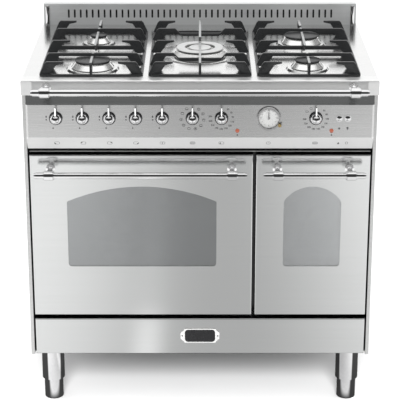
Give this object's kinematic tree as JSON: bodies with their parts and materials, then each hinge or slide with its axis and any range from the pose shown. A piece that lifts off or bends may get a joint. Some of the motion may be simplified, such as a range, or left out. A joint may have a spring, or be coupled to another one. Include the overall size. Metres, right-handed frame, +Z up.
{
  "type": "kitchen stove",
  "caption": "Free-standing stainless range cooker with gas burners under cast-iron pan supports, side-by-side ovens with drop-down arched-window doors, a plinth drawer and levelling legs.",
  "frame": {"origin": "on the floor, under the middle of the cooker's box", "axes": "+Z up, the doors face -Y, +X is on the cook's right"},
  "size_m": [0.9, 0.7154, 0.96],
  "materials": {
    "stainless": "brushed",
    "zinc_sheet": "galvanised",
    "chrome": "polished",
    "cast_iron": "matt enamel",
    "black_enamel": "gloss enamel",
    "oven_enamel": "speckled enamel",
    "oven_glass": "tinted, reflective",
    "clear_glass": "clear",
    "dial_metal": "white dial",
    "brass": "turned",
    "dark_plastic": "moulded",
    "amber_lens": "clear amber",
    "burner_alloy": "polished",
    "cap_steel": "satin",
    "seal_rubber": "matt",
    "element_steel": "heat-tinted"
  },
  "bodies": {
    "cooker": {"side_panels": "stainless", "rear_panel": "zinc_sheet", "base_tray": "zinc_sheet", "front_frame": "black_enamel", "hob_top": "stainless", "upstand": "stainless", "control_panel": "stainless", "towel_rail": "chrome", "gas_rail": "brass", "knob_bezels": "chrome", "oven_controls": "dark_plastic", "clock_case": "dial_metal", "clock_glass": "clear_glass", "pilot_lamps": "amber_lens", "burner_bodies": "burner_alloy", "burner_caps": "cap_steel", "oven_liners": "oven_enamel", "oven_seals": "seal_rubber", "oven_racks": "chrome", "grill_elements": "element_steel", "fan_motor": "zinc_sheet", "leg_sleeves": "chrome", "terminal_box": "dark_plastic"},
    "door_left": {"door_panel_left": "stainless", "door_liner_left": "black_enamel", "door_glass_left": "oven_glass", "door_handle_left": "chrome"},
    "door_right": {"door_panel_right": "stainless", "door_liner_right": "black_enamel", "door_glass_right": "oven_glass", "door_handle_right": "chrome"},
    "drawer": {"drawer_front": "stainless", "drawer_box": "zinc_sheet"},
    "tap_1": {"tap_spindle_1": "brass"},
    "gas_knob_1": {"gas_knob_1": "chrome"},
    "tap_2": {"tap_spindle_2": "brass"},
    "gas_knob_2": {"gas_knob_2": "chrome"},
    "tap_3": {"tap_spindle_3": "brass"},
    "gas_knob_3": {"gas_knob_3": "chrome"},
    "tap_4": {"tap_spindle_4": "brass"},
    "gas_knob_4": {"gas_knob_4": "chrome"},
    "tap_5": {"tap_spindle_5": "brass"},
    "gas_knob_5": {"gas_knob_5": "chrome"},
    "function_knob": {"function_knob": "chrome"},
    "thermostat_knob_left": {"thermostat_knob_left": "chrome"},
    "thermostat_knob_right": {"thermostat_knob_right": "chrome"},
    "clock_knob": {"clock_knob": "brass"},
    "minute_hand": {"minute_hand": "black_enamel"},
    "hour_hand": {"hour_hand": "black_enamel"},
    "ignition_button": {"ignition_button": "chrome"},
    "lamp_button": {"lamp_button": "chrome"},
    "grate_left": {"grate_left": "cast_iron"},
    "grate_centre": {"grate_centre": "cast_iron"},
    "grate_right": {"grate_right": "cast_iron"},
    "fan_blade": {"fan_blade": "element_steel"},
    "foot_front_left": {"foot_front_left": "chrome"},
    "foot_front_right": {"foot_front_right": "chrome"},
    "foot_rear_left": {"foot_rear_left": "chrome"},
    "foot_rear_right": {"foot_rear_right": "chrome"}
  },
  "joints": [
    {"name": "door_left_hinge", "type": "hinge", "parent": "cooker", "child": "door_left", "pos_m": [-0.15, -0.27325, 0.277], "axis": [1, 0, 0], "range_deg": [0, 90], "stiffness_Nm_per_rad": 4, "springref_deg": -20.05},
    {"name": "door_right_hinge", "type": "hinge", "parent": "cooker", "child": "door_right", "pos_m": [0.2895, -0.27325, 0.277], "axis": [1, 0, 0], "range_deg": [0, 90], "stiffness_Nm_per_rad": 4, "springref_deg": -20.05},
    {"name": "drawer_slide", "type": "slide", "parent": "cooker", "child": "drawer", "axis": [0, -1, 0], "range_m": [0, 0.3]},
    {"name": "tap_1_push", "type": "slide", "parent": "cooker", "child": "tap_1", "axis": [0, 1, 0], "range_m": [0, 0.004], "stiffness_N_per_m": 900, "springref_m": -0.004},
    {"name": "gas_knob_1_turn", "type": "hinge", "parent": "tap_1", "child": "gas_knob_1", "pos_m": [-0.362, -0.31325, 0.8075], "axis": [0, -1, 0], "range_deg": [0, 162]},
    {"name": "tap_2_push", "type": "slide", "parent": "cooker", "child": "tap_2", "axis": [0, 1, 0], "range_m": [0, 0.004], "stiffness_N_per_m": 900, "springref_m": -0.004},
    {"name": "gas_knob_2_turn", "type": "hinge", "parent": "tap_2", "child": "gas_knob_2", "pos_m": [-0.29525, -0.31325, 0.8075], "axis": [0, -1, 0], "range_deg": [0, 162]},
    {"name": "tap_3_push", "type": "slide", "parent": "cooker", "child": "tap_3", "axis": [0, 1, 0], "range_m": [0, 0.004], "stiffness_N_per_m": 900, "springref_m": -0.004},
    {"name": "gas_knob_3_turn", "type": "hinge", "parent": "tap_3", "child": "gas_knob_3", "pos_m": [-0.2285, -0.31325, 0.8075], "axis": [0, -1, 0], "range_deg": [0, 162]},
    {"name": "tap_4_push", "type": "slide", "parent": "cooker", "child": "tap_4", "axis": [0, 1, 0], "range_m": [0, 0.004], "stiffness_N_per_m": 900, "springref_m": -0.004},
    {"name": "gas_knob_4_turn", "type": "hinge", "parent": "tap_4", "child": "gas_knob_4", "pos_m": [-0.16175, -0.31325, 0.8075], "axis": [0, -1, 0], "range_deg": [0, 162]},
    {"name": "tap_5_push", "type": "slide", "parent": "cooker", "child": "tap_5", "axis": [0, 1, 0], "range_m": [0, 0.004], "stiffness_N_per_m": 900, "springref_m": -0.004},
    {"name": "gas_knob_5_turn", "type": "hinge", "parent": "tap_5", "child": "gas_knob_5", "pos_m": [-0.095, -0.31325, 0.8075], "axis": [0, -1, 0], "range_deg": [0, 162]},
    {"name": "function_knob_turn", "type": "hinge", "parent": "cooker", "child": "function_knob", "pos_m": [-0.019, -0.31325, 0.8075], "axis": [0, 1, 0], "range_deg": [0, 330]},
    {"name": "thermostat_knob_left_turn", "type": "hinge", "parent": "cooker", "child": "thermostat_knob_left", "pos_m": [0.054, -0.31325, 0.8075], "axis": [0, 1, 0], "range_deg": [0, 280]},
    {"name": "thermostat_knob_right_turn", "type": "hinge", "parent": "cooker", "child": "thermostat_knob_right", "pos_m": [0.291, -0.31325, 0.8075], "axis": [0, 1, 0], "range_deg": [0, 334]},
    {"name": "clock_knob_turn", "type": "hinge", "parent": "cooker", "child": "clock_knob", "pos_m": [0.19985, -0.31325, 0.792], "axis": [0, 1, 0], "continuous": true},
    {"name": "minute_hand_turn", "type": "hinge", "parent": "cooker", "child": "minute_hand", "pos_m": [0.173, -0.31325, 0.8075], "axis": [0, 1, 0], "continuous": true},
    {"name": "hour_hand_turn", "type": "hinge", "parent": "cooker", "child": "hour_hand", "pos_m": [0.173, -0.31325, 0.8075], "axis": [0, 1, 0], "continuous": true},
    {"name": "ignition_button_push", "type": "slide", "parent": "cooker", "child": "ignition_button", "axis": [0, 1, 0], "range_m": [0, 0.003], "stiffness_N_per_m": 700, "springref_m": -0.002},
    {"name": "lamp_button_push", "type": "slide", "parent": "cooker", "child": "lamp_button", "axis": [0, 1, 0], "range_m": [0, 0.003], "stiffness_N_per_m": 700, "springref_m": -0.002},
    {"name": "grate_left_lift", "type": "slide", "parent": "cooker", "child": "grate_left", "axis": [0, 0, 1], "range_m": [0, 0.12]},
    {"name": "grate_centre_lift", "type": "slide", "parent": "cooker", "child": "grate_centre", "axis": [0, 0, 1], "range_m": [0, 0.12]},
    {"name": "grate_right_lift", "type": "slide", "parent": "cooker", "child": "grate_right", "axis": [0, 0, 1], "range_m": [0, 0.12]},
    {"name": "fan_spin", "type": "hinge", "parent": "cooker", "child": "fan_blade", "pos_m": [-0.15, 0.18175, 0.489], "axis": [0, 1, 0], "continuous": true},
    {"name": "foot_front_left_screw", "type": "slide", "parent": "cooker", "child": "foot_front_left", "axis": [0, 0, -1], "range_m": [0, 0.03]},
    {"name": "foot_front_right_screw", "type": "slide", "parent": "cooker", "child": "foot_front_right", "axis": [0, 0, -1], "range_m": [0, 0.03]},
    {"name": "foot_rear_left_screw", "type": "slide", "parent": "cooker", "child": "foot_rear_left", "axis": [0, 0, -1], "range_m": [0, 0.03]},
    {"name": "foot_rear_right_screw", "type": "slide", "parent": "cooker", "child": "foot_rear_right", "axis": [0, 0, -1], "range_m": [0, 0.03]}
  ],
  "couplings": [
    {"joint": "minute_hand_turn", "follows": "clock_knob_turn", "ratio": -0.25},
    {"joint": "hour_hand_turn", "follows": "clock_knob_turn", "ratio": -0.020833}
  ]
}
